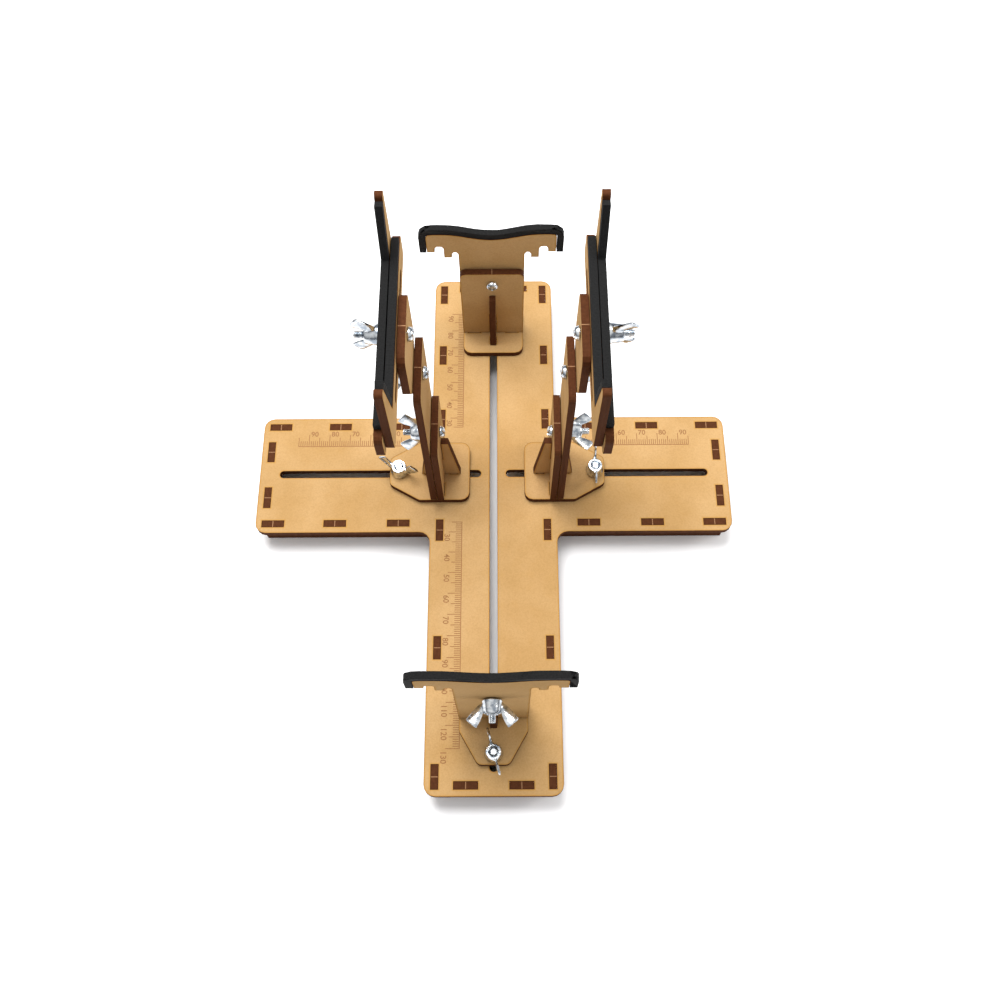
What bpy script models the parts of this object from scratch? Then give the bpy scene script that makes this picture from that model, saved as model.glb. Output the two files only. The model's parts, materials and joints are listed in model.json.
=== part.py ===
"""Adjustable holding stand cut from 3 mm board.

A cross-shaped base on ribs carries four carriages that slide along its slots.
The front and back carriages hold a foam-edged cradle. The left and right ones
hold a riser, a link and a pair of L-shaped foam-edged jaws. Screws and wing
nuts clamp every sliding and turning piece.

Sizes are in millimetres. A stand is drawn in its own axes: u runs outward from
the inner edge of its foot, w runs sideways, and z rises from the top of the
base plate.
"""
import math

import bmesh
import bpy
from mathutils import Matrix, Vector
from mathutils.geometry import tessellate_polygon

MM = 0.001

# Base
SHEET = 3.0
GAP = 0.3
RIB_HEIGHT = 12.0
BASE_TOP = RIB_HEIGHT + SHEET
ARM_HALF = 30.0
SIDE_REACH = 112.5
FRONT_REACH = 150.0
BACK_REACH = 110.0
CROSS_Y = (FRONT_REACH - BACK_REACH) / 2
CORNER = 5.0
SLOT = 3.6
FRONT_SLOT_END = 139.8
BACK_SLOT_END = 100.8
SIDE_SLOT = (6.0, 102.9)

# Ribs under the base, and the tabs that stand up through it
RIB_INSET = 4.6
TAB = 10.2
TAB_FIT = 0.15
END_TAB_OFFSET = 12.0
ARMS = {
    "front": {"turn": -90, "reach": FRONT_REACH, "start": 22.0, "tabs": (29.0, 85.5)},
    "back": {"turn": 90, "reach": BACK_REACH, "start": 22.0, "tabs": (29.3, 65.6)},
    "left": {"turn": 180, "reach": SIDE_REACH, "start": 31.0, "tabs": (45.0, 75.0)},
    "right": {"turn": 0, "reach": SIDE_REACH, "start": 31.0, "tabs": (45.0, 75.0)},
}

# Stands: where each foot starts along its arm
STAND_START = {"front": 99.2, "back": 65.0, "left": 11.3, "right": 14.8}
FOOT_LENGTH = 38.2
STAND_HALF = 15.0
FOOT_TAPER = 23.9
TIP_HALF = 6.8
FOOT_Z = 0.2
FOOT_TOP = FOOT_Z + SHEET
LOCK_U = 33.5
UPRIGHT_U = 12.0
UPRIGHT_TOP = 53.0
CLAMP_Z = 45.0
GUSSET_FOOT = (4.3, 22.7)
GUSSET_HEAD = (8.6, 18.4)
GUSSET_TOP = 36.0
HALF_LAP = 19.6
SLIDER_U = UPRIGHT_U + SHEET + GAP
SLIDER_FOOT = 3.7
SLIDER_SLOT_TOP = 47.4
SCREW_HOLE = 1.8

# Cradle head
CRADLE_TOP = 78.0
CRADLE_HALF = 29.1
VALLEY = 3.8
LOBE_AT = 22.0
HOOKS = ((15.0, 18.0, 65.4, 61.6), (21.5, 25.6, 69.5, 65.6))
FOAM = 3.0
FOAM_DROP = 12.7

# Riser, link and jaws
RISER_TOP = 101.5
LINK_Z = 97.0
LINK_TOP = 131.3
LINK_U = SLIDER_U + SHEET + GAP
JAW_Z = 125.5
JAW_LENGTH = 84.5
JAW_BAR = (119.5, 132.5)
JAW_TIP = 160.0
HORN_ROOT = 10.0
HORN_TIP = 3.0
JAW_SLOT = (12.0, 68.0)
INNER_JAW_U = LINK_U + SHEET + GAP
OUTER_JAW_U = INNER_JAW_U + SHEET + GAP
INNER_JAW_FREE_END = 40.0
OUTER_JAW_FREE_END = -47.0
JAW_FOAM_START = 4.5
JAW_FOAM_TOP = 158.0

# Fasteners
SHANK = 1.45
HEAD_RADIUS = 2.8
HEAD_HEIGHT = 2.4
HUB_HEIGHT = 6.0
HUB_RADIUS = (4.3, 3.5)
WING_ROOT = (1.0, 5.0)
WING_SECTIONS = ((6.3, 3.1, 4.3, 7.2, 0.8), (8.8, 5.9, 5.5, 9.6, 0.7), (10.4, 8.0, 6.5, 11.0, 0.6))
ROUND_SIDES = 12
SEAT = 0.2

COLOURS = {
    "board": ((0.55, 0.34, 0.15), 0.75, 0.0),
    "foam": ((0.012, 0.012, 0.012), 0.9, 0.0),
    "zinc": ((0.72, 0.74, 0.76), 0.28, 1.0),
}


def clear_scene():
    for old in list(bpy.data.objects):
        bpy.data.objects.remove(old, do_unlink=True)


def make_material(name, finish):
    colour, roughness, metallic = COLOURS[finish]
    material = bpy.data.materials.new(name)
    material.use_nodes = True
    shader = material.node_tree.nodes["Principled BSDF"]
    shader.inputs["Base Color"].default_value = (*colour, 1.0)
    shader.inputs["Roughness"].default_value = roughness
    shader.inputs["Metallic"].default_value = metallic
    return material


def add_object(name, bm, finish, pivot=(0, 0, 0), parent=None, turn=None):
    """Move the bmesh's points to metres about the pivot and put it in the scene."""
    centre = Vector(pivot)
    bmesh.ops.translate(bm, verts=bm.verts, vec=-centre)
    bmesh.ops.scale(bm, verts=bm.verts, vec=(MM, MM, MM))
    bmesh.ops.recalc_face_normals(bm, faces=bm.faces)
    mesh = bpy.data.meshes.new(name)
    bm.to_mesh(mesh)
    bm.free()
    mesh.materials.append(make_material(name, finish))
    piece = bpy.data.objects.new(name, mesh)
    bpy.context.collection.objects.link(piece)
    piece.location = centre * MM
    if turn is not None:
        piece.rotation_euler = turn.to_euler()
    piece.parent = parent
    return piece


def add_stand_axes(name, turn, start):
    """An empty at a foot's inner edge, with its X axis pointing outward."""
    angle = math.radians(turn)
    axes = bpy.data.objects.new(name + "_axes", None)
    bpy.context.collection.objects.link(axes)
    x = start * math.cos(angle)
    y = start * math.sin(angle) + CROSS_Y
    axes.location = Vector((x, y, BASE_TOP)) * MM
    axes.rotation_euler = (0, 0, angle)
    return axes


# Outlines

def rounded(corners, steps=4):
    """Turn corners (a, b, radius) into points, with an arc at each round corner."""
    points = []
    count = len(corners)
    for i, (a, b, radius) in enumerate(corners):
        here = Vector((a, b))
        if not radius:
            points.append((a, b))
            continue
        back = (Vector(corners[i - 1][:2]) - here).normalized()
        ahead = (Vector(corners[(i + 1) % count][:2]) - here).normalized()
        half = back.angle(ahead) / 2
        reach = radius / math.tan(half)
        centre = here + (back + ahead).normalized() * radius / math.sin(half)
        first = here + back * reach - centre
        last = here + ahead * reach - centre
        sweep = first.angle_signed(last)
        for k in range(steps + 1):
            turned = first.copy()
            turned.rotate(Matrix.Rotation(-sweep * k / steps, 2))
            points.append(tuple(centre + turned))
    return points


def circle(a, b, radius):
    angles = [2 * math.pi * k / ROUND_SIDES for k in range(ROUND_SIDES)]
    return [(a + radius * math.cos(t), b + radius * math.sin(t)) for t in angles]


def box(a, b, half_a, half_b):
    return [(a - half_a, b - half_b), (a + half_a, b - half_b),
            (a + half_a, b + half_b), (a - half_a, b + half_b)]


def stadium(a0, a1, b0, b1, steps=4):
    """A rectangle whose short ends are half circles."""
    radius = min(a1 - a0, b1 - b0) / 2 - 0.001
    return rounded([(a0, b0, radius), (a1, b0, radius),
                    (a1, b1, radius), (a0, b1, radius)], steps)


def band(path, near, far):
    """The strip between two offsets on the left of a path."""
    sides = ([], [])
    for i, point in enumerate(path):
        before = Vector(path[max(i - 1, 0)])
        after = Vector(path[min(i + 1, len(path) - 1)])
        along = (after - before).normalized()
        left = Vector((-along.y, along.x))
        sides[0].append(tuple(Vector(point) + left * near))
        sides[1].append(tuple(Vector(point) + left * far))
    return sides[0] + sides[1][::-1]


# Solids

def slab(outline, holes, axis, low, high):
    """Extrude an outline with holes between two levels of one axis."""
    order = {"u": (2, 0, 1), "w": (0, 2, 1), "z": (0, 1, 2)}[axis]
    bm = bmesh.new()
    loops = [outline] + list(holes)
    flat = [Vector((a, b, 0)) for loop in loops for a, b in loop]
    rings = []
    for level in (low, high):
        rings.append([bm.verts.new([(p.x, p.y, level)[k] for k in order]) for p in flat])
    triangles = tessellate_polygon([[Vector((a, b, 0)) for a, b in loop] for loop in loops])
    for ring in rings:
        for triangle in triangles:
            bm.faces.new([ring[k] for k in triangle])
    start = 0
    for loop in loops:
        for k in range(len(loop)):
            here, there = start + k, start + (k + 1) % len(loop)
            bm.faces.new((rings[0][here], rings[0][there], rings[1][there], rings[1][here]))
        start += len(loop)
    return bm


def turned(profile):
    """Turn a profile of (radius, height) points about the Z axis."""
    bm = bmesh.new()
    rings = []
    for radius, height in profile:
        if radius == 0:
            rings.append([bm.verts.new((0, 0, height))] * ROUND_SIDES)
            continue
        angles = [2 * math.pi * (k + 0.5) / ROUND_SIDES for k in range(ROUND_SIDES)]
        rings.append([bm.verts.new((radius * math.cos(t), radius * math.sin(t), height))
                      for t in angles])
    for upper, lower in zip(rings, rings[1:] + rings[:1]):
        for k in range(ROUND_SIDES):
            n = (k + 1) % ROUND_SIDES
            corners = []
            for vert in (upper[k], upper[n], lower[n], lower[k]):
                if vert not in corners:
                    corners.append(vert)
            if len(corners) > 2:
                bm.faces.new(corners)
    return bm


def screw_solid(length):
    """A pan-head screw: underside of the head at z = 0, shank pointing down."""
    return turned([(0, HEAD_HEIGHT), (1.7, HEAD_HEIGHT - 0.1), (2.6, 1.4), (HEAD_RADIUS, 0),
                   (SHANK, 0), (SHANK, 0.5 - length), (SHANK - 0.5, -length), (0, -length)])


def wing_nut_solid():
    """A bored hub with two wings drawn out of opposite sides of it."""
    low, high = HUB_RADIUS
    bm = turned([(SCREW_HOLE, HUB_HEIGHT), (high, HUB_HEIGHT), (high + 0.1, WING_ROOT[1]),
                 (low - 0.2, WING_ROOT[0]), (low, 0), (SCREW_HOLE, 0)])
    for side in (1, -1):
        root = Vector((side * low, 0, sum(WING_ROOT) / 2))
        face = min(bm.faces, key=lambda f: (f.calc_center_median() - root).length)
        ring = sorted(face.verts, key=lambda v: (v.co.z, v.co.y))
        ring = [ring[0], ring[1], ring[3], ring[2]]
        bm.faces.remove(face)
        for outer, bottom, inner, top, half in WING_SECTIONS:
            places = ((outer, -half, bottom), (outer, half, bottom),
                      (inner, half, top), (inner, -half, top))
            new = [bm.verts.new((side * x, y, z)) for x, y, z in places]
            for k in range(4):
                n = (k + 1) % 4
                bm.faces.new((ring[k], ring[n], new[n], new[k]))
            ring = new
        bm.faces.new(ring)
    return bm


# Base

def arm_place(arm, a, b):
    """Turn a place on an arm, a outward and b sideways, into the plate's own axes."""
    angle = math.radians(ARMS[arm]["turn"])
    x = a * math.cos(angle) - b * math.sin(angle)
    y = a * math.sin(angle) + b * math.cos(angle)
    return x, y + CROSS_Y


def arm_box(arm, a, b, half_a, half_b):
    return [arm_place(arm, p, q) for p, q in box(a, b, half_a, half_b)]


def rib_line(arm):
    """Distance of the end rib's middle, and of the side ribs' middles, from the centre."""
    return ARMS[arm]["reach"] - RIB_INSET, ARM_HALF - RIB_INSET


def tab_holes():
    holes = []
    half, wall = TAB / 2 + TAB_FIT, SHEET / 2 + TAB_FIT
    for arm, data in ARMS.items():
        end, side = rib_line(arm)
        last = end + SHEET / 2 - TAB / 2
        for b in (-side, side):
            holes += [arm_box(arm, a, b, half, wall) for a in (*data["tabs"], last)]
        holes += [arm_box(arm, end, b, wall, half) for b in (-END_TAB_OFFSET, END_TAB_OFFSET)]
    return holes


def add_base_plate():
    corners = []
    for arm in ("front", "right", "back", "left"):
        reach = ARMS[arm]["reach"]
        corners += [(*arm_place(arm, reach, -ARM_HALF), CORNER),
                    (*arm_place(arm, reach, ARM_HALF), CORNER),
                    (*arm_place(arm, ARM_HALF, ARM_HALF), CORNER)]
    half = SLOT / 2
    slots = [stadium(-half, half, CROSS_Y - FRONT_SLOT_END, CROSS_Y + BACK_SLOT_END)]
    for side in (-1, 1):
        near, far = sorted(side * x for x in SIDE_SLOT)
        slots.append(stadium(near, far, CROSS_Y - half, CROSS_Y + half))
    bm = slab(rounded(corners), slots + tab_holes(), "z", RIB_HEIGHT, BASE_TOP)
    add_object("base_plate", bm, "board", pivot=(0, CROSS_Y, 0))


def rib_cells(arm):
    """The footprint of an arm's three ribs as boxes (a0, a1, b0, b1, is_tab), end to end."""
    end, side = rib_line(arm)
    wall = SHEET / 2
    last = (end + wall - TAB, end - wall)
    edges = [ARMS[arm]["start"]]
    for middle in ARMS[arm]["tabs"]:
        edges += [middle - TAB / 2, middle + TAB / 2]
    edges += list(last)
    cells = []
    for b in (-side, side):
        for k in range(len(edges) - 1):
            cells.append((edges[k], edges[k + 1], b - wall, b + wall, k % 2 == 1))
        cells.append((end - wall, end + wall, b - wall, b + wall, True))
    stops = [-side + wall, -END_TAB_OFFSET - TAB / 2, -END_TAB_OFFSET + TAB / 2]
    stops += [-b for b in reversed(stops)]
    for k in range(len(stops) - 1):
        cells.append((end - wall, end + wall, stops[k], stops[k + 1], k % 2 == 1))
    return cells


def add_skirt(arm):
    """Three ribs glued into a U, with tabs on their top edges."""
    bm = bmesh.new()
    rib_top, tab_top = RIB_HEIGHT - GAP, BASE_TOP - 0.05
    verts = {}

    def vert(a, b, z):
        key = (round(a, 3), round(b, 3), round(z, 3))
        if key not in verts:
            verts[key] = bm.verts.new((*arm_place(arm, a, b), z))
        return verts[key]

    def corners(cell):
        a0, a1, b0, b1 = cell[:4]
        return [(a0, b0), (a1, b0), (a1, b1), (a0, b1)]

    def walls(cells, low, high):
        edges = {}
        for cell in cells:
            ring = corners(cell)
            for k in range(4):
                ends = (ring[k], ring[(k + 1) % 4])
                key = tuple(sorted((round(a, 3), round(b, 3)) for a, b in ends))
                edges.setdefault(key, []).append(ends)
        for uses in edges.values():
            if len(uses) == 1:
                (a, b), (c, d) = uses[0]
                bm.faces.new((vert(a, b, low), vert(c, d, low), vert(c, d, high), vert(a, b, high)))

    cells = rib_cells(arm)
    walls(cells, 0.0, rib_top)
    walls([cell for cell in cells if cell[4]], rib_top, tab_top)
    for cell in cells:
        bm.faces.new([vert(a, b, 0.0) for a, b in corners(cell)])
        top = tab_top if cell[4] else rib_top
        bm.faces.new([vert(a, b, top) for a, b in corners(cell)])
    add_object(arm + "_skirt", bm, "board", pivot=(0, CROSS_Y, 0))


# Stands

def foot_outline():
    half, taper, tip = STAND_HALF, FOOT_TAPER, TIP_HALF
    return rounded([(0, -half, 4), (taper, -half, 3), (FOOT_LENGTH, -tip, 3),
                    (FOOT_LENGTH, tip, 3), (taper, half, 3), (0, half, 4)], 3)


def add_foot(name, axes):
    middle = UPRIGHT_U + SHEET / 2
    wall = SHEET / 2 + TAB_FIT
    holes = [circle(LOCK_U, 0, SCREW_HOLE)]
    holes += [box(middle, w, wall, 3 + TAB_FIT) for w in (-9.5, 9.5)]
    holes += [box(u, 0, 1.7 + TAB_FIT, wall) for u in (7.5, 19.5)]
    bm = slab(foot_outline(), holes, "z", FOOT_Z, FOOT_TOP)
    add_object(name + "_foot_plate", bm, "board", pivot=(LOCK_U, 0, FOOT_Z), parent=axes)


def add_upright(name, axes):
    half, seat, tab = STAND_HALF, FOOT_TOP + SEAT, FOOT_Z + SEAT
    lap = SHEET / 2 + SEAT
    corners = [(-half, seat, 0), (-12.5, seat, 0), (-12.5, tab, 0), (-6.5, tab, 0),
               (-6.5, seat, 0), (-lap, seat, 0), (-lap, HALF_LAP + SEAT, 0)]
    corners += [(-w, z, r) for w, z, r in reversed(corners)]
    corners += [(half, UPRIGHT_TOP, 3), (-half, UPRIGHT_TOP, 3)]
    bm = slab(rounded(corners), [circle(0, CLAMP_Z, SCREW_HOLE)],
              "u", UPRIGHT_U, UPRIGHT_U + SHEET)
    add_object(name + "_upright", bm, "board", pivot=(UPRIGHT_U, 0, CLAMP_Z), parent=axes)


def add_gusset(name, axes):
    seat, tab = FOOT_TOP + SEAT, FOOT_Z + SEAT
    lap_low, lap_high = UPRIGHT_U - SEAT, UPRIGHT_U + SHEET + SEAT
    corners = [(GUSSET_FOOT[0], seat)]
    for u in (7.5, 19.5):
        corners += [(u - 1.7, seat), (u - 1.7, tab), (u + 1.7, tab), (u + 1.7, seat)]
    corners += [(GUSSET_FOOT[1], seat), (GUSSET_HEAD[1], GUSSET_TOP), (lap_high, GUSSET_TOP),
                (lap_high, HALF_LAP), (lap_low, HALF_LAP), (lap_low, GUSSET_TOP),
                (GUSSET_HEAD[0], GUSSET_TOP)]
    bm = slab(corners, [], "w", -SHEET / 2, SHEET / 2)
    add_object(name + "_gusset", bm, "board", pivot=(UPRIGHT_U, 0, seat), parent=axes)


def add_clamp(name, axes, grip_low, grip_high, z, length, spin):
    """A screw through the pieces between two levels of u, and its wing nut."""
    outward = Matrix.Rotation(math.radians(90), 3, "Y")
    inward = Matrix.Rotation(math.radians(-90), 3, "Y")
    head = (grip_low - SEAT, 0, z)
    seat = (grip_high + GAP, 0, z)
    bm = screw_solid(length)
    bmesh.ops.translate(bm, verts=bm.verts, vec=head)
    add_object(name + "_screw", bm, "zinc", pivot=head, parent=axes, turn=inward)
    bm = wing_nut_solid()
    bmesh.ops.rotate(bm, verts=bm.verts, matrix=Matrix.Rotation(math.radians(spin), 3, "Z"))
    bmesh.ops.translate(bm, verts=bm.verts, vec=seat)
    add_object(name + "_wing_nut", bm, "zinc", pivot=seat, parent=axes, turn=outward)


def add_lock(name, axes, spin):
    """The screw up through the slot and the foot, and its wing nut on top."""
    head = (LOCK_U, 0, -SHEET - GAP)
    seat = (LOCK_U, 0, FOOT_TOP + SEAT)
    bm = screw_solid(seat[2] + HUB_HEIGHT - head[2])
    bmesh.ops.rotate(bm, verts=bm.verts, matrix=Matrix.Rotation(math.pi, 3, "X"))
    bmesh.ops.translate(bm, verts=bm.verts, vec=head)
    add_object(name + "_foot_screw", bm, "zinc", pivot=head, parent=axes)
    bm = wing_nut_solid()
    bmesh.ops.rotate(bm, verts=bm.verts, matrix=Matrix.Rotation(math.radians(spin), 3, "Z"))
    bmesh.ops.translate(bm, verts=bm.verts, vec=seat)
    add_object(name + "_foot_wing_nut", bm, "zinc", pivot=seat, parent=axes)


def cradle_top(w):
    """Height of the cradle's top edge: a shallow valley between two lobes."""
    share = min(abs(w), LOBE_AT) / LOBE_AT
    return CRADLE_TOP - VALLEY * (1 + math.cos(math.pi * share)) / 2


def head_path():
    """The cradle's upper edge, from the bottom of one end to the bottom of the other."""
    side = CRADLE_HALF
    low = CRADLE_TOP - FOAM_DROP
    curve = [(26 - 52 * k / 20, cradle_top(26 - 52 * k / 20)) for k in range(21)]
    arc = [(side - 2 + 2 * math.cos(t), CRADLE_TOP - 2 + 2 * math.sin(t))
           for t in (0, math.pi / 6, math.pi / 3)]
    right = [(side, low)] + arc
    return right + curve + [(-w, z) for w, z in reversed(right)]


def add_cradle(name, axes):
    notch = []
    for near, far, top, tooth in HOOKS:
        notch += [(near, top - 1.4), (near + 0.9, top), (far - 0.9, top), (far, top - 1.4)]
        notch += [(far, tooth)]
        notch += [(HOOKS[1][0], tooth)] if far == HOOKS[0][1] else [(CRADLE_HALF, tooth)]
    slot_top = SLIDER_SLOT_TOP
    half = SLOT / 2
    right = [(half, slot_top - half), (half, SLIDER_FOOT), (STAND_HALF, SLIDER_FOOT)] + notch
    left = [(-w, z) for w, z in reversed(right)]
    cap = [(half * math.cos(t), slot_top - half + half * math.sin(t))
           for t in (math.pi * 0.75, math.pi * 0.5, math.pi * 0.25)]
    outline = right + head_path()[1:-1] + left + cap
    bm = slab(outline, [], "u", SLIDER_U, SLIDER_U + SHEET)
    add_object(name + "_cradle", bm, "board", pivot=(SLIDER_U, 0, CLAMP_Z), parent=axes)
    bm = slab(band(head_path(), -GAP - FOAM, -GAP), [], "u", SLIDER_U, SLIDER_U + SHEET)
    add_object(name + "_cradle_foam", bm, "foam", pivot=(SLIDER_U, 0, CRADLE_TOP), parent=axes)


def add_riser(name, axes):
    half, foot, end = SLOT / 2, SLIDER_FOOT, SLIDER_SLOT_TOP
    corners = [(half, end, half - 0.001), (half, foot, 0), (STAND_HALF, foot, 0),
               (STAND_HALF, RISER_TOP, 3), (-STAND_HALF, RISER_TOP, 3),
               (-STAND_HALF, foot, 0), (-half, foot, 0), (-half, end, half - 0.001)]
    bm = slab(rounded(corners), [circle(0, LINK_Z, SCREW_HOLE)], "u", SLIDER_U, SLIDER_U + SHEET)
    add_object(name + "_riser", bm, "board", pivot=(SLIDER_U, 0, LINK_Z), parent=axes)


def add_link(name, axes):
    outline = [(w, LINK_TOP - u) for u, w in foot_outline()]
    holes = [circle(0, z, SCREW_HOLE) for z in (LINK_Z, JAW_Z)]
    bm = slab(outline, holes, "u", LINK_U, LINK_U + SHEET)
    add_object(name + "_link", bm, "board", pivot=(LINK_U, 0, LINK_Z), parent=axes)


def add_jaw(name, axes, u, free_end, side):
    """An L-shaped bar with a slot along it. Its horn is on the given side of w."""
    low, high = JAW_BAR
    root, tip = JAW_LENGTH - HORN_ROOT, JAW_LENGTH - HORN_TIP

    def place(points):
        return [(free_end + side * s, z) for s, z in points]

    bar = rounded([(0, low, 3), (JAW_LENGTH, low, 4), (JAW_LENGTH, JAW_TIP, 1.4),
                   (tip, JAW_TIP, 1.4), (root, high, 2), (0, high, 3)])
    slot = stadium(*JAW_SLOT, JAW_Z - SLOT / 2, JAW_Z + SLOT / 2)
    bm = slab(place(bar), [place(slot)], "u", u, u + SHEET)
    add_object(name, bm, "board", pivot=(u, 0, JAW_Z), parent=axes)
    lean = (tip - root) / (JAW_TIP - high)
    ends = (JAW_FOAM_START, high), (root + lean * (JAW_FOAM_TOP - high), JAW_FOAM_TOP)
    path = rounded([(*ends[0], 0), (root, high, 4), (*ends[1], 0)])
    bm = slab(place(band(path, GAP, GAP + FOAM)), [], "u", u, u + SHEET)
    add_object(name.replace("jaw", "foam"), bm, "foam", pivot=(u, 0, JAW_Z), parent=axes)


def add_foot_assembly(name, axes, lock_spin):
    add_foot(name, axes)
    add_upright(name, axes)
    add_gusset(name, axes)
    add_lock(name, axes, lock_spin)


def add_cradle_stand(name, clamp_spin, lock_spin):
    axes = add_stand_axes(name, ARMS[name]["turn"], STAND_START[name])
    add_foot_assembly(name, axes, lock_spin)
    add_cradle(name, axes)
    add_clamp(name + "_cradle", axes, UPRIGHT_U, SLIDER_U + SHEET, CLAMP_Z, 16, clamp_spin)


def add_jaw_stand(name, near, clamp_spins, lock_spin):
    """near is the side of w on which the front of the base lies."""
    axes = add_stand_axes(name, ARMS[name]["turn"], STAND_START[name])
    add_foot_assembly(name, axes, lock_spin)
    add_riser(name, axes)
    add_link(name, axes)
    add_jaw(name + "_inner_jaw", axes, INNER_JAW_U, -near * INNER_JAW_FREE_END, near)
    add_jaw(name + "_outer_jaw", axes, OUTER_JAW_U, -near * OUTER_JAW_FREE_END, -near)
    low, middle, high = clamp_spins
    add_clamp(name + "_riser", axes, UPRIGHT_U, SLIDER_U + SHEET, CLAMP_Z, 16, low)
    add_clamp(name + "_link", axes, SLIDER_U, LINK_U + SHEET, LINK_Z, 16, middle)
    add_clamp(name + "_jaw", axes, LINK_U, OUTER_JAW_U + SHEET, JAW_Z, 20, high)


def main():
    clear_scene()
    add_base_plate()
    for arm in ARMS:
        add_skirt(arm)
    add_cradle_stand("front", 90, 12)
    add_cradle_stand("back", 90, 90)
    add_jaw_stand("left", 1, (20, 60, 0), -25)
    add_jaw_stand("right", -1, (75, 40, 15), 90)


main()
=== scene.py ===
"""Looks for the adjustable holding stand: scorched laser-cut board, foam cord and zinc hardware."""
import json
import math

import bmesh
import bpy
from mathutils import Matrix, Vector
from mathutils.geometry import delaunay_2d_cdt
from mathutils.noise import noise


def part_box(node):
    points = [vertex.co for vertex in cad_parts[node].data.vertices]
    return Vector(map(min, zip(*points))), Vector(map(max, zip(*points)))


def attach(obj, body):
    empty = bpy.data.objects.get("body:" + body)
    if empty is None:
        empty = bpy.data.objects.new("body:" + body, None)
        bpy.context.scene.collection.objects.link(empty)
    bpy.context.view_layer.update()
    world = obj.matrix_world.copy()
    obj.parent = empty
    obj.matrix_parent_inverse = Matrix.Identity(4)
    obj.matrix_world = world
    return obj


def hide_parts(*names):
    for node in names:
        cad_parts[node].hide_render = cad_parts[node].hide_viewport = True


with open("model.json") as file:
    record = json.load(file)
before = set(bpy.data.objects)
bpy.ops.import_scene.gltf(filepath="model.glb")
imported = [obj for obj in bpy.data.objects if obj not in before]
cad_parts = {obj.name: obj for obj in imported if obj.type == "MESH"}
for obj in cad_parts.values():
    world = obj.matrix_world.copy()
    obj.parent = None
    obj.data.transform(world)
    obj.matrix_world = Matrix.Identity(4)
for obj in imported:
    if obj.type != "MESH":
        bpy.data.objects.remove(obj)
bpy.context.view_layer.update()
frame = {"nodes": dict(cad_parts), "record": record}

MM = 0.001
BASE_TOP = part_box("base_plate")[1].z
CROSS_Y = (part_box("left_foot_plate")[0].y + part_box("left_foot_plate")[1].y) / 2
BODY_OF = {node: body for body, nodes in frame["record"]["behaviour"]["bodies"].items()
           for node in nodes}

# Burnt rims round each cut: depth into the face, and how burnt the board is there
SCORCH_RINGS = ((0.00022, 0.6), (0.00095, 0.0))
FLAT = 0.99
WELD = 1e-6

# Engraved scales: the arm's turn in degrees, first and last millimetre, side of the slot
SCALES = {
    "front": (-90, 25, 130, -1),
    "back": (90, 25, 90, 1),
    "left": (180, 25, 95, -1),
    "right": (0, 25, 95, 1),
}
SCALE_LINE = 0.0149
TICKS = {10: 0.0062, 5: 0.0047, 1: 0.0029}
TICK_WIDTH = 0.00034
FIRST_NUMBER = 30
DIGIT_SIZE = 0.0037
DIGIT_BOLD = 0.00005
DIGIT_REACH = SCALE_LINE + TICKS[10] - 0.0008
DIGIT_CLEAR = 0.0027
DIGIT_SHIFT = {"front": -0.0009, "back": -0.0009, "left": 0.0007, "right": 0.0007}
ENGRAVE_DEPTH = 0.00004
ENGRAVE_LIFT = 0.00001

# Marks left by the bridges that held the cut pieces in the sheet
MARK_WIDTH = 0.00035
MARK_DEPTH = 0.0001
TAB_MARK_TOP = -0.00003
EDGE_MARK_LIFT = 0.00002

# Foam cord: rounding, then (noise scale, height) of its lumps, and how far it is drawn in
FOAM_ROUND = 0.0009
FOAM_SHARP = 1.2
FOAM_LUMPS = ((160, 0.00016), (700, 0.00007))
FOAM_DRAW_IN = 0.00006

# Screws, as (radius, height) points of the pan head above its underside
HEAD_HEIGHT = 0.0024
HEAD = ((0.0, HEAD_HEIGHT), (0.0009, 0.00238), (0.0017, 0.00222), (0.0023, 0.00185),
        (0.00266, 0.0012), (0.0028, 0.0005), (0.00278, 0.0001), (0.0027, 0.0))
HEAD_CROWN = 0.0017
RECESS_RIM = 0.0014
RECESS_REACH = 0.00172
RECESS_HALF = 0.00034
RECESS_FLOOR = 0.0013
RECESS_RISE = 0.35
PITCH = 0.0005
ROWS_PER_TURN = 6
THREAD_OUTER = 0.00150
THREAD_ROOT = 0.00122
THREAD_RUN_OUT = 0.0006
SHANK_SIDES = 28

# Wing nuts: (radius, height) points of the hub
HUB = ((0.00155, 0.0060), (0.0034, 0.0060), (0.0036, 0.0050), (0.0039, 0.0014),
       (0.0043, 0.0009), (0.0043, 0.0), (0.00155, 0.0))
HUB_SIDES = 16
WING_ROOT = Vector((0.0038, 0, 0.0032))
# Wing sections in mm: radius and height of the outer edge, then of the inner edge, half thickness
WING_SECTIONS = (
    (5.2, 1.9, 3.75, 5.9, 0.85),
    (6.9, 3.5, 4.3, 7.6, 0.75),
    (8.8, 5.6, 5.3, 9.6, 0.68),
    (10.2, 7.5, 6.2, 10.9, 0.62),
    (10.45, 7.95, 6.55, 11.1, 0.60),
)
WING_TIP_POINTS = 8
SMOOTH_ANGLE = math.radians(38)

# The way each stand faces, away from the middle of the cross
OUTWARD = {"front": (0, -1, 0), "back": (0, 1, 0), "left": (-1, 0, 0), "right": (1, 0, 0)}

# Board colours, from the clean face to the deepest char
FACE = (0.48, 0.30, 0.132)
FACE_DARK = (0.425, 0.255, 0.10)
HONEY = (0.42, 0.215, 0.048)
CHAR = (0.10, 0.034, 0.012)
CHAR_DARK = (0.045, 0.014, 0.005)
BLACK = (0, 0, 0)
WHITE = (1, 1, 1)

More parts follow.
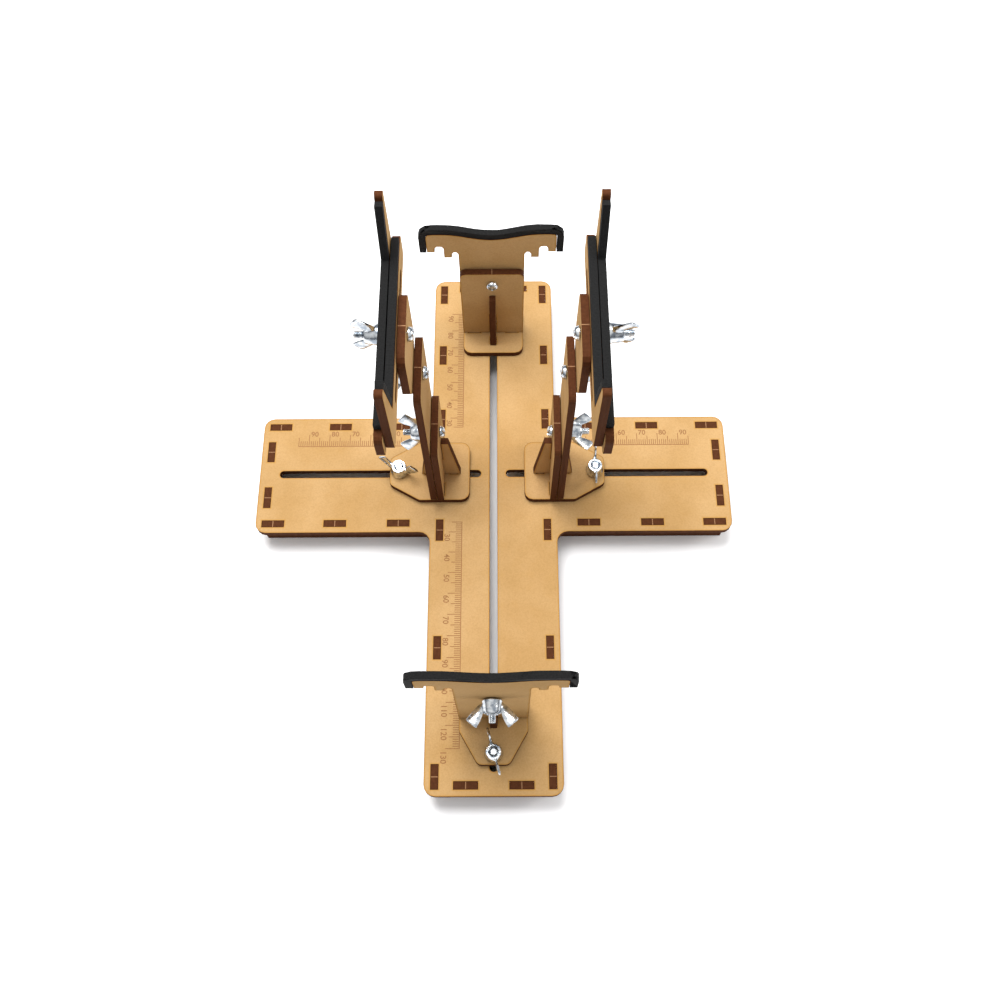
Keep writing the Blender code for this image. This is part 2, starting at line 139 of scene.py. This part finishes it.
# Camera, floor and light
CAMERA_PLACE = Vector((0.0056, CROSS_Y - 0.19605, BASE_TOP + 0.44012))
CAMERA_TURNS = ((0.013709, "Z"), (0.39248, "X"), (-0.018393, "Z"))
LENS = 36.0
SENSOR = 36.0
FLOOR_SIZE = 4.0
FLOOR_COLOUR = (0.93, 0.93, 0.94, 1.0)
LIGHT_TARGET = Vector((0, 0, 0.06))
# Name, place, diameter in metres and power in watts
LIGHTS = (
    ("top", (-0.15, 0.30, 0.95), 0.6, 13.0),
    ("side", (0.75, 0.10, 0.55), 0.35, 2.5),
)
SKY_STRENGTH = 0.9
# Height on the sky and colour there
SKY = ((0.12, (0.16, 0.17, 0.19)), (0.75, (1.0, 1.0, 1.0)))


# Materials

class Nodes:
    """Small helper that adds and links shader nodes."""

    def __init__(self, name):
        self.material = bpy.data.materials.new(name)
        self.material.use_nodes = True
        self.tree = self.material.node_tree
        self.shader = self.tree.nodes["Principled BSDF"]

    def add(self, kind, **values):
        node = self.tree.nodes.new(kind)
        for key, value in values.items():
            if hasattr(node, key):
                setattr(node, key, value)
            else:
                node.inputs[key.replace("_", " ")].default_value = value
        return node

    def link(self, source, target):
        self.tree.links.new(source, target)

    def noise(self, scale, detail=3.0, stretch=(1, 1, 1)):
        coords = self.add("ShaderNodeTexCoord")
        mapping = self.add("ShaderNodeMapping")
        mapping.inputs["Scale"].default_value = stretch
        self.link(coords.outputs["Object"], mapping.inputs["Vector"])
        texture = self.add("ShaderNodeTexNoise", Scale=scale, Detail=detail)
        self.link(mapping.outputs["Vector"], texture.inputs["Vector"])
        return texture.outputs["Fac"]

    def ramp(self, source, stops):
        ramp = self.add("ShaderNodeValToRGB")
        elements = ramp.color_ramp.elements
        while len(elements) < len(stops):
            elements.new(0.5)
        for element, (place, colour) in zip(elements, stops):
            element.position = place
            element.color = (*colour, 1.0)
        self.link(source, ramp.inputs["Fac"])
        return ramp.outputs["Color"]

    def mix(self, kind, factor, first, second):
        mix = self.add("ShaderNodeMix", data_type="RGBA", blend_type=kind)
        for socket, value in ((mix.inputs[0], factor), (mix.inputs[6], first),
                              (mix.inputs[7], second)):
            if hasattr(value, "is_output"):
                self.link(value, socket)
            elif isinstance(value, tuple):
                socket.default_value = (*value, 1.0)
            else:
                socket.default_value = value
        return mix.outputs[2]

    def bump(self, height, strength, distance):
        bump = self.add("ShaderNodeBump", Strength=strength, Distance=distance)
        self.link(height, bump.inputs["Height"])
        self.link(bump.outputs["Normal"], self.shader.inputs["Normal"])

    def roughness(self, source, low, high):
        spread = self.add("ShaderNodeMapRange", To_Min=low, To_Max=high)
        self.link(source, spread.inputs["Value"])
        self.link(spread.outputs["Result"], self.shader.inputs["Roughness"])


def board_material():
    """Fibreboard face that turns honey, then char, as the burn attribute rises to 1."""
    n = Nodes("board_scorched")
    fibre = n.noise(1500, 4.0)
    blotch = n.noise(38, 2.0)
    smoke = n.noise(210, 3.0)
    face = n.mix("MIX", n.ramp(blotch, ((0.38, BLACK), (0.66, WHITE))), FACE, FACE_DARK)
    specks = n.ramp(fibre, ((0.3, (0.80, 0.77, 0.72)), (0.62, WHITE)))
    face = n.mix("MULTIPLY", 0.55, face, specks)
    streaks = n.noise(900, 2.0, (1, 1, 0.05))
    char = n.mix("MIX", streaks, CHAR_DARK, CHAR)
    burn = n.add("ShaderNodeAttribute", attribute_name="burn").outputs["Fac"]
    wander = n.add("ShaderNodeMath", operation="MULTIPLY_ADD")
    wander.inputs[1].default_value = 0.35
    wander.inputs[2].default_value = -0.175
    n.link(smoke, wander.inputs[0])
    total = n.add("ShaderNodeMath", operation="ADD")
    n.link(burn, total.inputs[0])
    n.link(wander.outputs[0], total.inputs[1])
    halo = n.ramp(total.outputs[0], ((0.02, BLACK), (0.55, WHITE)))
    scorch = n.ramp(burn, ((0.66, BLACK), (0.93, WHITE)))
    colour = n.mix("MIX", n.mix("MULTIPLY", 1.0, halo, (0.72, 0.72, 0.72)), face, HONEY)
    colour = n.mix("MIX", scorch, colour, char)
    n.link(colour, n.shader.inputs["Base Color"])
    n.roughness(fibre, 0.62, 0.86)
    n.bump(fibre, 0.25, 0.0002)
    n.shader.inputs["Specular IOR Level"].default_value = 0.06
    return n.material


def etched_material(name, dark, light, smoothest, roughest):
    """Board that the laser has marked but not cut through."""
    n = Nodes(name)
    grain = n.noise(1800, 3.0)
    n.link(n.ramp(grain, ((0.3, dark), (0.7, light))), n.shader.inputs["Base Color"])
    n.roughness(grain, smoothest, roughest)
    return n.material


def foam_material():
    n = Nodes("foam_cord")
    cells = n.noise(1400, 4.0)
    black = n.ramp(cells, ((0.3, (0.002, 0.002, 0.002)), (0.75, (0.010, 0.010, 0.010))))
    n.link(black, n.shader.inputs["Base Color"])
    n.roughness(cells, 0.8, 1.0)
    n.shader.inputs["Specular IOR Level"].default_value = 0.25
    n.bump(cells, 0.7, 0.0004)
    return n.material


def zinc_material():
    n = Nodes("zinc_plate")
    cloud = n.noise(420, 3.0)
    grey = n.ramp(cloud, ((0.36, (0.30, 0.34, 0.39)), (0.58, (0.74, 0.77, 0.79))))
    n.link(grey, n.shader.inputs["Base Color"])
    n.shader.inputs["Metallic"].default_value = 1.0
    n.roughness(cloud, 0.12, 0.30)
    n.bump(n.noise(700, 2.0), 0.10, 0.0003)
    return n.material


BOARD = board_material()
ENGRAVED = etched_material("engraved", (0.20, 0.088, 0.026), (0.31, 0.145, 0.05), 0.75, 0.95)
PALE = etched_material("bridge_mark", (0.20, 0.09, 0.035), (0.34, 0.18, 0.08), 0.7, 0.9)
FOAM_CORD = foam_material()
ZINC = zinc_material()


def add_piece(name, bm, material, body, stands_for=None, smooth=False):
    mesh = bpy.data.meshes.new(name)
    bm.to_mesh(mesh)
    bm.free()
    mesh.materials.append(material)
    if smooth:
        mesh.shade_smooth()
        mesh.set_sharp_from_angle(angle=SMOOTH_ANGLE)
    piece = bpy.data.objects.new(name, mesh)
    bpy.context.scene.collection.objects.link(piece)
    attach(piece, body)
    if stands_for:
        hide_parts(stands_for)


# Board pieces: the CAD solid with scorched rings let into its two faces

def plate_axis(node):
    """The axis across the sheet: the one along which the solid is thinnest."""
    low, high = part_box(node)
    size = high - low
    return min(range(3), key=lambda k: size[k])


def welded(node):
    """A node's CAD mesh with its corners joined, to be edited."""
    bm = bmesh.new()
    bm.from_mesh(frame["nodes"][node].data)
    bmesh.ops.remove_doubles(bm, verts=bm.verts, dist=WELD)
    return bm


def directed_loops(faces):
    """The boundary loops of a set of faces, with the faces on the left of each loop."""
    chosen = set(faces)
    following = {}
    for face in faces:
        for loop in face.loops:
            if sum(other in chosen for other in loop.edge.link_faces) == 1:
                following[loop.vert] = loop.link_loop_next.vert
    loops = []
    while following:
        start = next(iter(following))
        ring = [start]
        vert = following.pop(start)
        while vert is not start:
            ring.append(vert)
            vert = following.pop(vert)
        loops.append(ring)
    return loops


def let_in(places, normal, depth):
    """A closed line of points moved inward by depth, with mitred corners."""
    moved = []
    count = len(places)
    for k, here in enumerate(places):
        first = normal.cross((here - places[k - 1]).normalized())
        second = normal.cross((places[(k + 1) % count] - here).normalized())
        moved.append(here + (first + second) * depth / max(1 + first.dot(second), 0.5))
    return moved


def scorch_face(bm, faces, burn):
    """Give one flat side rings round every cut, where the burn fades into the face."""
    normal = faces[0].normal.copy()
    loops = directed_loops(faces)
    bmesh.ops.delete(bm, geom=faces, context="FACES_ONLY")
    places = [[vert.co.copy() for vert in loop] for loop in loops]
    before = 0.0
    for depth, value in SCORCH_RINGS:
        places = [let_in(line, normal, depth - before) for line in places]
        before = depth
        rings = []
        for outer, line in zip(loops, places):
            inner = [bm.verts.new(place) for place in line]
            for vert in inner:
                vert[burn] = value
            for k in range(len(outer)):
                m = (k + 1) % len(outer)
                bm.faces.new((outer[k], outer[m], inner[m], inner[k]))
            rings.append(inner)
        loops = rings
    fill_between(bm, loops, normal)


def inside(point, lines):
    """Whether a 2-D point is inside an odd number of closed lines."""
    crossings = 0
    for line in lines:
        for k, here in enumerate(line):
            before = line[k - 1]
            if (here.y > point.y) != (before.y > point.y):
                share = (point.y - before.y) / (here.y - before.y)
                crossings += before.x + share * (here.x - before.x) > point.x
    return crossings % 2 == 1


def fill_between(bm, loops, normal):
    """Triangulate the flat region that the loops bound."""
    axis = max(range(3), key=lambda k: abs(normal[k]))
    keep = [k for k in range(3) if k != axis]
    lines = [[Vector((v.co[keep[0]], v.co[keep[1]])) / MM for v in loop] for loop in loops]
    verts, places, edges = [], [], []
    for loop, line in zip(loops, lines):
        start = len(verts)
        verts += loop
        places += line
        edges += [(start + k, start + (k + 1) % len(loop)) for k in range(len(loop))]
    points, _, triangles, sources, _, _ = delaunay_2d_cdt(places, edges, [], 0, 1e-5)
    level = loops[0][0].co[axis]
    found = []
    for point, source in zip(points, sources):
        if source:
            found.append(verts[source[0]])
            continue
        crossing = Vector((level, level, level))
        crossing[keep[0]], crossing[keep[1]] = point * MM
        found.append(bm.verts.new(crossing))
    for triangle in triangles:
        if not inside(sum((points[k] for k in triangle), Vector((0, 0))) / 3, lines):
            continue
        corners = [found[k] for k in triangle]
        across = (corners[1].co - corners[0].co).cross(corners[2].co - corners[0].co)
        bm.faces.new(corners if across.dot(normal) > 0 else corners[::-1])


def add_board(node, clean_faces=True):
    """A board piece with burnt cut edges. The ribs are burnt all over, like their tabs."""
    bm = welded(node)
    burn = bm.verts.layers.float.new("burn")
    for vert in bm.verts:
        vert[burn] = 1.0
    if clean_faces:
        axis = plate_axis(node)
        for sign in (-1, 1):
            bm.normal_update()
            scorch_face(bm, [f for f in bm.faces if f.normal[axis] * sign > FLAT], burn)
    add_piece(node + "_board", bm, BOARD, BODY_OF[node], node)


# Engraved scales

def scale_mesh(turn, first, last, side):
    """Ticks and numbers beside a slot. a runs outward along the arm, b across it."""
    bm = bmesh.new()
    half = TICK_WIDTH / 2

    def strip(a0, a1, b0, b1):
        corners = [bm.verts.new((a, b, z)) for z in (0, ENGRAVE_DEPTH)
                   for a, b in ((a0, b0), (a1, b0), (a1, b1), (a0, b1))]
        for ring in ((0, 3, 2, 1), (4, 5, 6, 7), (0, 1, 5, 4), (1, 2, 6, 5),
                     (2, 3, 7, 6), (3, 0, 4, 7)):
            bm.faces.new([corners[k] for k in ring])

    strip(first * MM - half, last * MM + half, SCALE_LINE * side - half, SCALE_LINE * side + half)
    for place in range(first, last + 1):
        step = 10 if place % 10 == 0 else 5 if place % 5 == 0 else 1
        ends = sorted((side * (SCALE_LINE + 1.5 * half), side * (SCALE_LINE + TICKS[step])))
        strip(place * MM - half, place * MM + half, *ends)
    bmesh.ops.rotate(bm, verts=bm.verts, matrix=Matrix.Rotation(math.radians(turn), 3, "Z"))
    return bm


def add_digits(bm, text, x, y, turn):
    curve = bpy.data.curves.new("digits", "FONT")
    curve.body = text
    curve.size = DIGIT_SIZE
    curve.extrude = ENGRAVE_DEPTH / 2
    curve.resolution_u = 3
    curve.offset = DIGIT_BOLD
    holder = bpy.data.objects.new("digits", curve)
    bpy.context.scene.collection.objects.link(holder)
    bpy.context.view_layer.update()
    filled = holder.evaluated_get(bpy.context.evaluated_depsgraph_get())
    mesh = bpy.data.meshes.new_from_object(filled)
    mesh.transform(Matrix.Translation((x, y, ENGRAVE_DEPTH / 2))
                   @ Matrix.Rotation(math.radians(turn), 4, "Z"))
    bm.from_mesh(mesh)
    bpy.data.objects.remove(holder)
    bpy.data.meshes.remove(mesh)


def add_scale(arm):
    turn, first, last, side = SCALES[arm]
    bm = scale_mesh(turn, first, last, side)
    shift = DIGIT_SHIFT[arm]
    for number in range(FIRST_NUMBER, last + 1, 10):
        x, y = OUTWARD[arm][0] * number * MM, OUTWARD[arm][1] * number * MM
        if arm in ("front", "back"):
            add_digits(bm, str(number), -DIGIT_REACH - DIGIT_CLEAR, y + shift, -90)
        else:
            add_digits(bm, str(number), x + shift, DIGIT_REACH, 0)
    bmesh.ops.translate(bm, verts=bm.verts, vec=(0, CROSS_Y, BASE_TOP + ENGRAVE_LIFT))
    add_piece(arm + "_scale", bm, ENGRAVED, "base")


# Bridge marks

def add_marks(name, places, body):
    """Thin pale strips, each given by its lowest and highest corner."""
    bm = bmesh.new()
    for low, high in places:
        cube = bmesh.ops.create_cube(bm, size=1.0)["verts"]
        bmesh.ops.scale(bm, verts=cube, vec=high - low)
        bmesh.ops.translate(bm, verts=cube, vec=(low + high) / 2)
    add_piece(name, bm, PALE, body)


def tab_tops(node):
    """The lowest and highest corner of the top of each tab that comes up through the plate."""
    bm = welded(node)
    top = [f for f in bm.faces
           if f.normal.z > FLAT and f.calc_center_median().z > BASE_TOP - MM]
    islands = []
    while top:
        island = [top.pop()]
        for face in island:
            for edge in face.edges:
                for other in edge.link_faces:
                    if other in top:
                        top.remove(other)
                        island.append(other)
        points = [v.co for f in island for v in f.verts]
        low = Vector([min(p[k] for p in points) for k in range(3)])
        high = Vector([max(p[k] for p in points) for k in range(3)])
        islands.append((low, high))
    bm.free()
    return islands


def add_tab_marks():
    places = []
    for node in frame["nodes"]:
        if not node.endswith("_skirt"):
            continue
        for low, high in tab_tops(node):
            along = 0 if high.x - low.x > high.y - low.y else 1
            middle = (low + high) / 2
            low[along], high[along] = (middle[along] - MARK_WIDTH / 2,
                                       middle[along] + MARK_WIDTH / 2)
            low.z, high.z = BASE_TOP - MARK_DEPTH, BASE_TOP + TAB_MARK_TOP
            places.append((low, high))
    add_marks("tab_marks", places, "base")


def add_edge_marks(node):
    """One mark across the middle of an upright piece's top edge."""
    low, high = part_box(node)
    wide = 1 - plate_axis(node)
    middle = (low[wide] + high[wide]) / 2
    low.z = high.z - MARK_DEPTH
    high.z += EDGE_MARK_LIFT
    low[wide], high[wide] = middle - MARK_WIDTH / 2, middle + MARK_WIDTH / 2
    add_marks(node + "_mark", [(low, high)], BODY_OF[node])


# Foam cord

def add_foam(node):
    """A soft cord in place of the plain strip: rounded, slightly lumpy."""
    bm = welded(node)
    sharp = [e for e in bm.edges if e.calc_face_angle(0) > FOAM_SHARP]
    bmesh.ops.bevel(bm, geom=sharp, offset=FOAM_ROUND, segments=3, profile=0.6,
                    affect="EDGES", clamp_overlap=True)
    for vert in bm.verts:
        wobble = sum(noise(vert.co * scale) * height for scale, height in FOAM_LUMPS)
        vert.co += vert.normal * (wobble - FOAM_DRAW_IN)
    add_piece(node + "_cord", bm, FOAM_CORD, BODY_OF[node], node, smooth=True)


# Fasteners

def turned(bm, profile, sides):
    """Turn (radius, height) points about Z into a skin, and hand back its rings of vertices."""
    rings = []
    for radius, height in profile:
        if radius == 0:
            rings.append([bm.verts.new((0, 0, height))] * sides)
            continue
        rings.append([bm.verts.new((radius * math.cos(2 * math.pi * k / sides),
                                    radius * math.sin(2 * math.pi * k / sides), height))
                      for k in range(sides)])
    for upper, lower in zip(rings, rings[1:]):
        for k in range(sides):
            m = (k + 1) % sides
            corners = []
            for vert in (upper[k], lower[k], lower[m], upper[m]):
                if vert not in corners:
                    corners.append(vert)
            if len(corners) > 2:
                bm.faces.new(corners)
    return rings


def screw_mesh(length):
    """Pan head with a cross recess, and a rolled thread. Underside of the head at z = 0."""
    bm = bmesh.new()
    previous = turned(bm, HEAD + ((THREAD_ROOT, 0.0),), SHANK_SIDES)[-1]
    rows = int(length / PITCH * ROWS_PER_TURN)
    for row in range(1, rows + 1):
        z = -length * row / rows
        fade = min(1.0, (length + z) / THREAD_RUN_OUT)
        ring = []
        for k in range(SHANK_SIDES):
            phase = (z / PITCH + k / SHANK_SIDES) % 1.0
            crest = 1 - abs(2 * phase - 1)
            radius = THREAD_ROOT + (THREAD_OUTER - THREAD_ROOT) * crest * fade
            angle = 2 * math.pi * k / SHANK_SIDES
            ring.append(bm.verts.new((radius * math.cos(angle), radius * math.sin(angle), z)))
        for k in range(SHANK_SIDES):
            m = (k + 1) % SHANK_SIDES
            bm.faces.new((previous[k], ring[k], ring[m], previous[m]))
        previous = ring
    bm.faces.new(previous[::-1])
    cut_recess(bm)
    bmesh.ops.recalc_face_normals(bm, faces=bm.faces)
    return bm


def cut_recess(bm):
    """Press a cross into the top of the head by moving points down along two bars."""
    top = [f for f in bm.faces if f.calc_center_median().z > HEAD_CROWN]
    edges = {e for f in top for e in f.edges}
    bmesh.ops.subdivide_edges(bm, edges=list(edges), cuts=3, use_grid_fill=True)
    for vert in bm.verts:
        x, y, z = vert.co
        reach = math.hypot(x, y)
        if z > RECESS_RIM and reach < RECESS_REACH and min(abs(x), abs(y)) < RECESS_HALF:
            vert.co.z = RECESS_FLOOR + RECESS_RISE * reach


def wing_nut_mesh():
    """A hub with a flared foot, and two pressed wings, rounded by subdivision."""
    bm = bmesh.new()
    rings = turned(bm, HUB, HUB_SIDES)
    for k in range(HUB_SIDES):
        m = (k + 1) % HUB_SIDES
        bm.faces.new((rings[-1][k], rings[0][k], rings[0][m], rings[-1][m]))
    wing = [tuple(value * MM for value in row) for row in WING_SECTIONS]
    for side in (1, -1):
        target = Vector((side * WING_ROOT.x, 0, WING_ROOT.z))
        row = sorted(bm.faces, key=lambda f: (f.calc_center_median() - target).length)[:2]
        outline = {v for f in row for v in f.verts}
        middle = [v for v in outline if abs(v.co.y) < 1e-6]
        edge = sorted((v for v in outline if v not in middle), key=lambda v: (v.co.z, v.co.y))
        ring = [edge[0], [v for v in middle if v.co.z < 0.003][0], edge[1],
                edge[3], [v for v in middle if v.co.z > 0.003][0], edge[2]]
        bmesh.ops.delete(bm, geom=row, context="FACES")
        for outer, low, inner, high, half in wing:
            places = ((outer, -half, low), (outer, 0, low), (outer, half, low),
                      (inner, half, high), (inner, 0, high), (inner, -half, high))
            new = [bm.verts.new((side * x, y, z)) for x, y, z in places]
            for k in range(6):
                m = (k + 1) % 6
                bm.faces.new((ring[k], ring[m], new[m], new[k]))
            ring = new
        bm.faces.new(ring)
    bmesh.ops.recalc_face_normals(bm, faces=bm.faces)
    return bm


def subdivided(bm):
    """Round a cage with one level of subdivision surface, and hand back the rounded mesh."""
    mesh = bpy.data.meshes.new("cage")
    bm.to_mesh(mesh)
    bm.free()
    cage = bpy.data.objects.new("cage", mesh)
    bpy.context.scene.collection.objects.link(cage)
    rounding = cage.modifiers.new("rounding", "SUBSURF")
    rounding.levels = 1
    rounding.render_levels = 1
    result = bmesh.new()
    result.from_object(cage, bpy.context.evaluated_depsgraph_get())
    bpy.data.objects.remove(cage)
    bpy.data.meshes.remove(mesh)
    return result


def add_fasteners(name, outward):
    """The screw and wing nut of one clamp, along a unit vector that points away from the head."""
    axis = Vector(outward)
    nut, screw = name + "_wing_nut", name + "_screw"
    turn = Vector((0, 0, 1)).rotation_difference(axis).to_matrix().to_4x4()
    low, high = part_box(screw)
    k = max(range(3), key=lambda i: abs(axis[i]))
    length = (high[k] - low[k]) - HEAD_HEIGHT
    head = (low + high) / 2
    head[k] = (low[k] + HEAD_HEIGHT) if axis[k] > 0 else (high[k] - HEAD_HEIGHT)
    bm = screw_mesh(length)
    flip = Vector((0, 0, 1)).rotation_difference(-axis).to_matrix().to_4x4()
    if axis.z > 0.5:
        flip = Matrix.Rotation(math.pi, 4, "X")
    bm.transform(Matrix.Translation(head) @ flip)
    add_piece(screw + "_threaded", bm, ZINC, BODY_OF[screw], screw, smooth=True)

    low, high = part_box(nut)
    seat = Vector(head)
    seat[k] = low[k] if axis[k] > 0 else high[k]
    bm = subdivided(wing_nut_mesh())
    spin = wing_angle(nut, seat, turn)
    bm.transform(Matrix.Translation(seat) @ turn @ Matrix.Rotation(spin, 4, "Z"))
    add_piece(nut + "_pressed", bm, ZINC, BODY_OF[nut], nut, smooth=True)


def wing_angle(nut, seat, turn):
    """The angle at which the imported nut's wings stand about its own axis."""
    back = turn.inverted()
    points = [back @ (v.co - seat) for v in frame["nodes"][nut].data.vertices]
    tips = sorted(points, key=lambda p: p.x * p.x + p.y * p.y)[-WING_TIP_POINTS:]
    tips = [p for p in tips if p.x * tips[0].x + p.y * tips[0].y > 0]
    return math.atan2(sum(p.y for p in tips), sum(p.x for p in tips))


# The object

for node in frame["nodes"]:
    if node.endswith("_skirt"):
        add_board(node, clean_faces=False)
    elif node.endswith("_foam"):
        add_foam(node)
    elif not node.endswith(("_screw", "_nut")):
        add_board(node)

for stand, outward in OUTWARD.items():
    clamps = ("cradle",) if stand in ("front", "back") else ("riser", "link", "jaw")
    for clamp in clamps:
        add_fasteners(stand + "_" + clamp, outward)
    add_fasteners(stand + "_foot", (0, 0, 1))

for arm in SCALES:
    add_scale(arm)
add_tab_marks()
for node in frame["nodes"]:
    if node.endswith(("_upright", "_riser", "_link")):
        add_edge_marks(node)


# Floor, light and camera

def add_floor():
    bm = bmesh.new()
    bmesh.ops.create_grid(bm, x_segments=1, y_segments=1, size=FLOOR_SIZE)
    mesh = bpy.data.meshes.new("floor")
    bm.to_mesh(mesh)
    bm.free()
    n = Nodes("floor_paper")
    n.shader.inputs["Base Color"].default_value = FLOOR_COLOUR
    n.shader.inputs["Roughness"].default_value = 0.9
    mesh.materials.append(n.material)
    floor = bpy.data.objects.new("floor", mesh)
    bpy.context.scene.collection.objects.link(floor)


def add_area(name, place, size, power):
    light = bpy.data.lights.new(name, "AREA")
    light.shape = "DISK"
    light.size = size
    light.energy = power
    lamp = bpy.data.objects.new(name, light)
    bpy.context.scene.collection.objects.link(lamp)
    lamp.location = place
    aim = LIGHT_TARGET - Vector(place)
    lamp.rotation_euler = aim.to_track_quat("-Z", "Y").to_euler()


def add_camera():
    camera = bpy.data.cameras.new("camera")
    camera.lens = LENS
    camera.sensor_width = SENSOR
    camera.clip_start = 0.01
    holder = bpy.data.objects.new("camera", camera)
    bpy.context.scene.collection.objects.link(holder)
    turn = Matrix.Identity(4)
    for angle, axis in CAMERA_TURNS:
        turn = turn @ Matrix.Rotation(angle, 4, axis)
    holder.matrix_world = Matrix.Translation(CAMERA_PLACE) @ turn
    bpy.context.scene.camera = holder


def add_world():
    """A bright tent overhead that darkens towards the horizon, so that metal has contrast."""
    world = bpy.data.worlds.new("studio")
    world.use_nodes = True
    tree = world.node_tree
    background = tree.nodes["Background"]
    coords = tree.nodes.new("ShaderNodeTexCoord")
    split = tree.nodes.new("ShaderNodeSeparateXYZ")
    ramp = tree.nodes.new("ShaderNodeValToRGB")
    for element, (height, colour) in zip(ramp.color_ramp.elements, SKY):
        element.position = height
        element.color = (*colour, 1.0)
    tree.links.new(coords.outputs["Generated"], split.inputs[0])
    tree.links.new(split.outputs["Z"], ramp.inputs["Fac"])
    tree.links.new(ramp.outputs["Color"], background.inputs["Color"])
    background.inputs["Strength"].default_value = SKY_STRENGTH
    bpy.context.scene.world = world
    bpy.context.scene.view_settings.view_transform = "Standard"


add_floor()
add_world()
for light in LIGHTS:
    add_area(*light)
add_camera()
